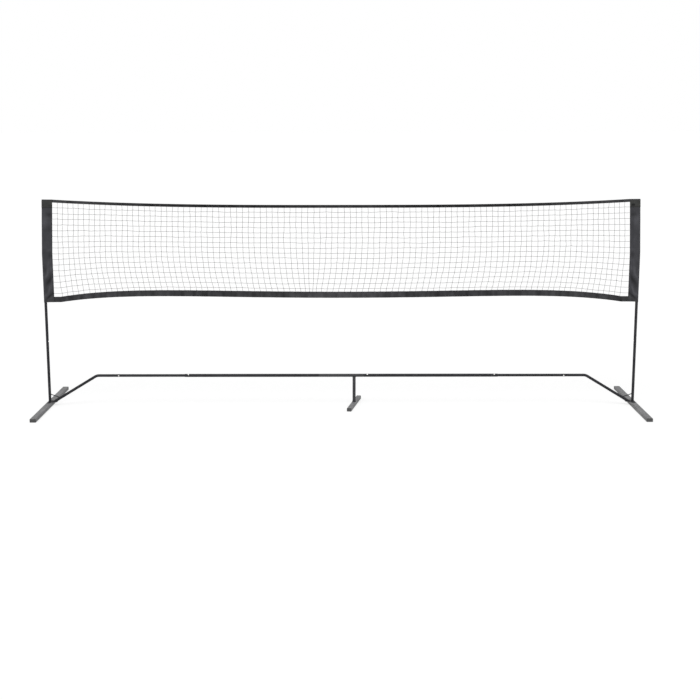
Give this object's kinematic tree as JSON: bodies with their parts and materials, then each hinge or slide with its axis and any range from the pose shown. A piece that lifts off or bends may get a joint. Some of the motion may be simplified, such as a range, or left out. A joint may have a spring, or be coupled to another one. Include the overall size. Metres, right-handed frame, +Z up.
{
  "type": "portable badminton net",
  "caption": "Free-standing portable badminton net: two posts on long swivel feet, a low plug-in bar with a centre foot, and a sagging net with cloth sleeves and hems.",
  "frame": {"origin": "middle of the footprint, on the ground", "axes": "+X along the net, +Y away from the picture's camera, +Z up"},
  "size_m": [4.31, 1.068, 1.5003],
  "materials": {
    "tube_paint": "satin black powder coat",
    "foot_paint": "dark grey powder coat, fine texture",
    "cap_plastic": "moulded black plastic",
    "fastener_zinc": "zinc plated",
    "washer_nylon": "natural nylon",
    "button_nickel": "bright nickel",
    "spring_steel": "tempered strip",
    "sleeve_cloth": "coated plain-weave polyester",
    "tape_cloth": "folded and stitched polyester",
    "net_cord": "twisted polyester twine"
  },
  "bodies": {
    "frame": {"upright_left": "tube_paint", "post_middle_left": "tube_paint", "post_top_left": "tube_paint", "ramp_tube_left": "tube_paint", "brace_rod_left": "tube_paint", "outer_bar_left": "tube_paint", "inner_bar_left": "tube_paint", "base_plate_left": "tube_paint", "post_cap_left": "cap_plastic", "net_sleeve_left": "sleeve_cloth", "upright_right": "tube_paint", "post_middle_right": "tube_paint", "post_top_right": "tube_paint", "ramp_tube_right": "tube_paint", "brace_rod_right": "tube_paint", "outer_bar_right": "tube_paint", "inner_bar_right": "tube_paint", "base_plate_right": "tube_paint", "post_cap_right": "cap_plastic", "net_sleeve_right": "sleeve_cloth", "centre_tee": "tube_paint", "centre_stub": "tube_paint", "base_plate_centre": "tube_paint", "pivot_bolt_left": "fastener_zinc", "head_washer_left": "fastener_zinc", "threaded_plug_left": "fastener_zinc", "swivel_washer_left": "washer_nylon", "pivot_bolt_right": "fastener_zinc", "head_washer_right": "fastener_zinc", "threaded_plug_right": "fastener_zinc", "swivel_washer_right": "washer_nylon", "pivot_bolt_centre": "fastener_zinc", "head_washer_centre": "fastener_zinc", "threaded_plug_centre": "fastener_zinc", "swivel_washer_centre": "washer_nylon", "button_springs": "spring_steel", "net_top_tape": "tape_cloth", "net_bottom_tape": "tape_cloth", "net_cords_level": "net_cord", "net_cords_upright": "net_cord"},
    "foot_left": {"foot_left": "foot_paint", "foot_caps_left": "cap_plastic"},
    "foot_right": {"foot_right": "foot_paint", "foot_caps_right": "cap_plastic"},
    "foot_centre": {"foot_centre": "foot_paint", "foot_caps_centre": "cap_plastic"},
    "button_post_low_left": {"snap_button_post_low_left": "button_nickel"},
    "button_post_high_left": {"snap_button_post_high_left": "button_nickel"},
    "button_ramp_left": {"snap_button_ramp_left": "button_nickel"},
    "button_bar_left": {"snap_button_bar_left": "button_nickel"},
    "button_tee_left": {"snap_button_tee_left": "button_nickel"},
    "button_post_low_right": {"snap_button_post_low_right": "button_nickel"},
    "button_post_high_right": {"snap_button_post_high_right": "button_nickel"},
    "button_ramp_right": {"snap_button_ramp_right": "button_nickel"},
    "button_bar_right": {"snap_button_bar_right": "button_nickel"},
    "button_tee_right": {"snap_button_tee_right": "button_nickel"}
  },
  "joints": [
    {"name": "foot_swivel_left", "type": "hinge", "parent": "frame", "child": "foot_left", "pos_m": [-2.133, 0, 0.025], "axis": [0, 0, 1], "range_deg": [-90, 90]},
    {"name": "foot_swivel_right", "type": "hinge", "parent": "frame", "child": "foot_right", "pos_m": [2.133, 0, 0.025], "axis": [0, 0, 1], "range_deg": [-90, 90]},
    {"name": "foot_swivel_centre", "type": "hinge", "parent": "frame", "child": "foot_centre", "pos_m": [0.094, 0, 0.025], "axis": [0, 0, 1], "range_deg": [-79.8, 100.2]},
    {"name": "button_press_post_low_left", "type": "slide", "parent": "frame", "child": "button_post_low_left", "axis": [-1, 0, 0], "range_m": [0, 0.0055], "stiffness_N_per_m": 1500, "springref_m": -0.003, "deforming": ["button_springs"]},
    {"name": "button_press_post_high_left", "type": "slide", "parent": "frame", "child": "button_post_high_left", "axis": [-1, 0, 0], "range_m": [0, 0.0055], "stiffness_N_per_m": 1500, "springref_m": -0.003, "deforming": ["button_springs"]},
    {"name": "button_press_ramp_left", "type": "slide", "parent": "frame", "child": "button_ramp_left", "axis": [0, 1, 0], "range_m": [0, 0.0055], "stiffness_N_per_m": 1500, "springref_m": -0.003, "deforming": ["button_springs"]},
    {"name": "button_press_bar_left", "type": "slide", "parent": "frame", "child": "button_bar_left", "axis": [0, 0.7071, -0.7071], "range_m": [0, 0.0055], "stiffness_N_per_m": 1500, "springref_m": -0.003, "deforming": ["button_springs"]},
    {"name": "button_press_tee_left", "type": "slide", "parent": "frame", "child": "button_tee_left", "axis": [0, -1, 0], "range_m": [0, 0.0055], "stiffness_N_per_m": 1500, "springref_m": -0.003, "deforming": ["button_springs"]},
    {"name": "button_press_post_low_right", "type": "slide", "parent": "frame", "child": "button_post_low_right", "axis": [1, 0, 0], "range_m": [0, 0.0055], "stiffness_N_per_m": 1500, "springref_m": -0.003, "deforming": ["button_springs"]},
    {"name": "button_press_post_high_right", "type": "slide", "parent": "frame", "child": "button_post_high_right", "axis": [1, 0, 0], "range_m": [0, 0.0055], "stiffness_N_per_m": 1500, "springref_m": -0.003, "deforming": ["button_springs"]},
    {"name": "button_press_ramp_right", "type": "slide", "parent": "frame", "child": "button_ramp_right", "axis": [0, 1, 0], "range_m": [0, 0.0055], "stiffness_N_per_m": 1500, "springref_m": -0.003, "deforming": ["button_springs"]},
    {"name": "button_press_bar_right", "type": "slide", "parent": "frame", "child": "button_bar_right", "axis": [0, 0.7071, -0.7071], "range_m": [0, 0.0055], "stiffness_N_per_m": 1500, "springref_m": -0.003, "deforming": ["button_springs"]},
    {"name": "button_press_tee_right", "type": "slide", "parent": "frame", "child": "button_tee_right", "axis": [0, 0.7071, -0.7071], "range_m": [0, 0.0055], "stiffness_N_per_m": 1500, "springref_m": -0.003, "deforming": ["button_springs"]}
  ]
}
